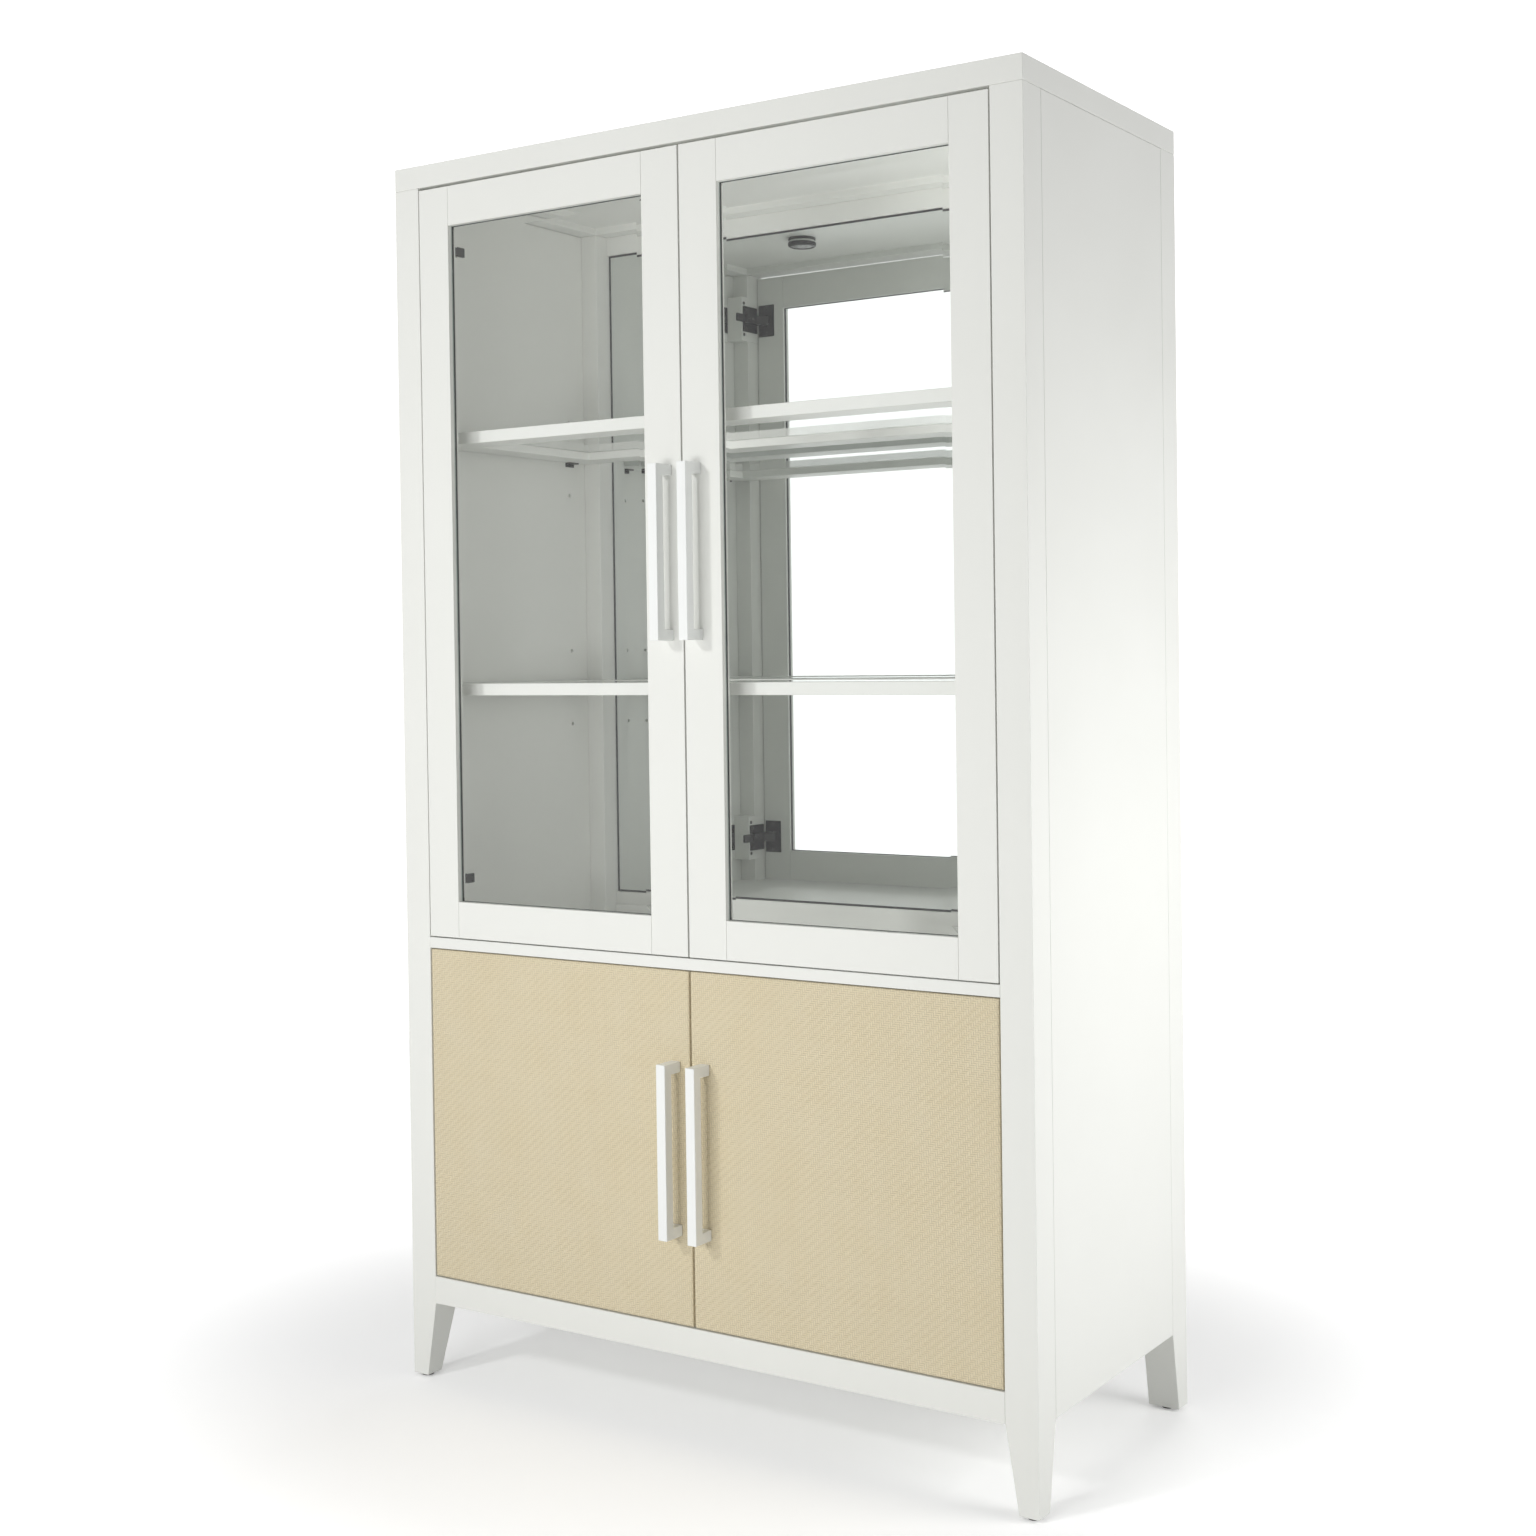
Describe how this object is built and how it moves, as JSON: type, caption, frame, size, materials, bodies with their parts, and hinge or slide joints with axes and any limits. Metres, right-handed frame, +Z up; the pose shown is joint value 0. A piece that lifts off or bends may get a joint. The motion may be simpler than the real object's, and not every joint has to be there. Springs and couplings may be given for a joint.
{
  "type": "curio cabinet",
  "caption": "Tall free-standing display cabinet with glazed doors and glass-insert shelves over a cupboard with woven-faced doors, bar pulls and tapered legs.",
  "frame": {"origin": "on the floor, midway across the width and midway between the back of the posts and the front of the pulls", "axes": "+Z up, +X to the right as one faces the doors, +Y towards the wall behind; the doors are on -Y"},
  "size_m": [1.194, 0.547, 2.032],
  "materials": {
    "painted_wood": "satin off-white paint",
    "woven_raffia": "matte woven grasscloth",
    "white_metal": "satin white powder coat",
    "hinge_steel": "nickel plated",
    "clear_glass": "polished",
    "silvered_glass": "polished",
    "dark_plastic": "matte",
    "frosted_plastic": "frosted"
  },
  "bodies": {
    "carcass": {"back_bottom_rail": "painted_wood", "back_panel": "painted_wood", "back_top_rail": "painted_wood", "base_floor": "painted_wood", "display_floor": "painted_wood", "front_apron": "painted_wood", "front_left_glide": "dark_plastic", "front_left_post": "painted_wood", "front_right_glide": "dark_plastic", "front_right_post": "painted_wood", "left_puck_light": "frosted_plastic", "left_side_panel": "painted_wood", "lower_left_hinge_arm_bottom": "hinge_steel", "lower_left_hinge_arm_top": "hinge_steel", "lower_right_hinge_arm_bottom": "hinge_steel", "lower_right_hinge_arm_top": "hinge_steel", "lower_shelf_frame": "painted_wood", "lower_shelf_glass": "clear_glass", "mirror_panel": "silvered_glass", "rear_left_glide": "dark_plastic", "rear_left_post": "painted_wood", "rear_right_glide": "dark_plastic", "rear_right_post": "painted_wood", "right_puck_light": "frosted_plastic", "right_side_panel": "painted_wood", "top_panel": "painted_wood", "upper_left_hinge_arm_bottom": "hinge_steel", "upper_left_hinge_arm_top": "hinge_steel", "upper_left_hinge_block_bottom": "painted_wood", "upper_left_hinge_block_top": "painted_wood", "upper_right_hinge_arm_bottom": "hinge_steel", "upper_right_hinge_arm_top": "hinge_steel", "upper_right_hinge_block_bottom": "painted_wood", "upper_right_hinge_block_top": "painted_wood", "upper_shelf_frame": "painted_wood", "upper_shelf_glass": "clear_glass"},
    "upper_left_door": {"upper_left_hinge_stile": "painted_wood", "upper_left_meeting_stile": "painted_wood", "upper_left_top_rail": "painted_wood", "upper_left_bottom_rail": "painted_wood", "upper_left_glass": "clear_glass", "upper_left_pull": "white_metal", "upper_left_hinge_cup_bottom": "hinge_steel", "upper_left_hinge_cup_top": "hinge_steel"},
    "upper_right_door": {"upper_right_hinge_stile": "painted_wood", "upper_right_meeting_stile": "painted_wood", "upper_right_top_rail": "painted_wood", "upper_right_bottom_rail": "painted_wood", "upper_right_glass": "clear_glass", "upper_right_pull": "white_metal", "upper_right_hinge_cup_bottom": "hinge_steel", "upper_right_hinge_cup_top": "hinge_steel"},
    "lower_left_door": {"lower_left_door_panel": "woven_raffia", "lower_left_pull": "white_metal", "lower_left_hinge_cup_bottom": "hinge_steel", "lower_left_hinge_cup_top": "hinge_steel"},
    "lower_right_door": {"lower_right_door_panel": "woven_raffia", "lower_right_pull": "white_metal", "lower_right_hinge_cup_bottom": "hinge_steel", "lower_right_hinge_cup_top": "hinge_steel"}
  },
  "joints": [
    {"name": "upper_left_door_hinge", "type": "hinge", "parent": "carcass", "child": "upper_left_door", "pos_m": [-0.542, -0.2345, 1.369], "axis": [0, 0, -1], "range_deg": [0, 105]},
    {"name": "upper_right_door_hinge", "type": "hinge", "parent": "carcass", "child": "upper_right_door", "pos_m": [0.542, -0.2345, 1.369], "axis": [0, 0, 1], "range_deg": [0, 105]},
    {"name": "lower_left_door_hinge", "type": "hinge", "parent": "carcass", "child": "lower_left_door", "pos_m": [-0.542, -0.2345, 0.4515], "axis": [0, 0, -1], "range_deg": [0, 105]},
    {"name": "lower_right_door_hinge", "type": "hinge", "parent": "carcass", "child": "lower_right_door", "pos_m": [0.542, -0.2345, 0.4515], "axis": [0, 0, 1], "range_deg": [0, 105]}
  ]
}
